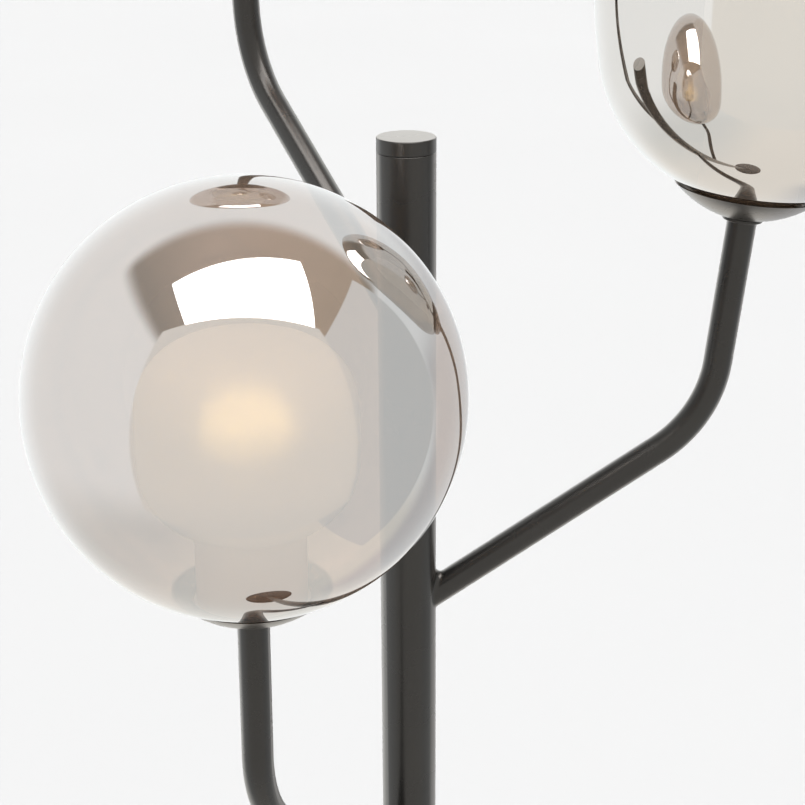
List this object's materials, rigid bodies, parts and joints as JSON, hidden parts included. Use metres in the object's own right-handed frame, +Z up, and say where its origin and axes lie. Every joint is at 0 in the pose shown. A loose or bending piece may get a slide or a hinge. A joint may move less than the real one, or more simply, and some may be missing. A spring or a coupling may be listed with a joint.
{
  "type": "globe floor lamp",
  "caption": "Floor lamp with a round post on a weighted disc base, bent tube arms and mirror-coated blown glasses around frosted inner glasses",
  "frame": {"origin": "on the post's axis at the floor, in the plane of the base's flat underside", "axes": "+Z up along the post; +X from the post along the arm with the tall glass; the other arms turn 120 degrees each way about +Z"},
  "size_m": [0.4947, 0.5124, 1.7963],
  "materials": {
    "black_metal": "matt black powder coat on steel, fine grain",
    "mirror_glass": "blown glass with a half-mirror metal coating",
    "frosted_glass": "acid-etched warm white inner glass",
    "opal_bulb": "opal glass, lit warm white",
    "plain_steel": "zinc-plated turned steel",
    "spring_steel": "bright spring steel",
    "cast_weight": "raw cast iron, dark grey",
    "black_rubber": "dark foam-rubber floor pad",
    "black_plastic": "black moulded nylon",
    "white_plastic": "white heat-resistant moulded plastic",
    "clear_sheath": "white plastic cable sheath",
    "clear_silicone": "translucent silicone",
    "brass": "bright drawn brass",
    "nickel": "nickel-plated brass screw cap with plastic skirt"
  },
  "bodies": {
    "stand": {"base_cover": "black_metal", "base_weight": "cast_weight", "floor_pad": "black_rubber", "stud_washer": "plain_steel", "post_stud": "plain_steel", "stud_nut": "plain_steel", "cord_gland": "black_plastic", "post_lower": "black_metal", "post_upper": "black_metal", "post_coupling": "plain_steel", "foot_plug": "plain_steel", "post_cap": "black_metal", "terminal_block": "white_plastic", "right_arm": "black_metal", "right_lead": "clear_sheath", "right_insert": "plain_steel", "right_nipple": "plain_steel", "right_collar": "black_metal", "right_saucer": "black_metal", "right_hub": "plain_steel", "right_grip": "spring_steel", "right_seal": "clear_silicone", "right_lampholder": "white_plastic", "right_contact_shell": "brass", "front_arm": "black_metal", "front_lead": "clear_sheath", "front_insert": "plain_steel", "front_nipple": "plain_steel", "front_collar": "black_metal", "front_saucer": "black_metal", "front_hub": "plain_steel", "front_grip": "spring_steel", "front_seal": "clear_silicone", "front_lampholder": "white_plastic", "front_contact_shell": "brass", "rear_arm": "black_metal", "rear_lead": "clear_sheath", "rear_insert": "plain_steel", "rear_nipple": "plain_steel", "rear_collar": "black_metal", "rear_saucer": "black_metal", "rear_hub": "plain_steel", "rear_grip": "spring_steel", "rear_seal": "clear_silicone", "rear_lampholder": "white_plastic", "rear_contact_shell": "brass"},
    "right_bulb": {"right_bulb_cap": "nickel", "right_bulb_glass": "opal_bulb"},
    "right_glass": {"right_globe": "mirror_glass", "right_diffuser": "frosted_glass"},
    "front_bulb": {"front_bulb_cap": "nickel", "front_bulb_glass": "opal_bulb"},
    "front_glass": {"front_globe": "mirror_glass", "front_diffuser": "frosted_glass"},
    "rear_bulb": {"rear_bulb_cap": "nickel", "rear_bulb_glass": "opal_bulb"},
    "rear_glass": {"rear_globe": "mirror_glass", "rear_diffuser": "frosted_glass"}
  },
  "joints": [
    {"name": "right_glass_lift", "type": "slide", "parent": "stand", "child": "right_glass", "axis": [0.1045, 0, 0.9945], "range_m": [0, 0.16]},
    {"name": "right_bulb_out", "type": "slide", "parent": "stand", "child": "right_bulb", "axis": [0.1045, 0, 0.9945], "range_m": [0, 0.023]},
    {"name": "front_glass_lift", "type": "slide", "parent": "stand", "child": "front_glass", "axis": [0.007, 0.0121, 0.9999], "range_m": [0, 0.16]},
    {"name": "front_bulb_out", "type": "slide", "parent": "stand", "child": "front_bulb", "axis": [0.007, 0.0121, 0.9999], "range_m": [0, 0.023]},
    {"name": "rear_glass_lift", "type": "slide", "parent": "stand", "child": "rear_glass", "axis": [-0.0349, 0.0604, 0.9976], "range_m": [0, 0.16]},
    {"name": "rear_bulb_out", "type": "slide", "parent": "stand", "child": "rear_bulb", "axis": [-0.0349, 0.0604, 0.9976], "range_m": [0, 0.023]}
  ]
}
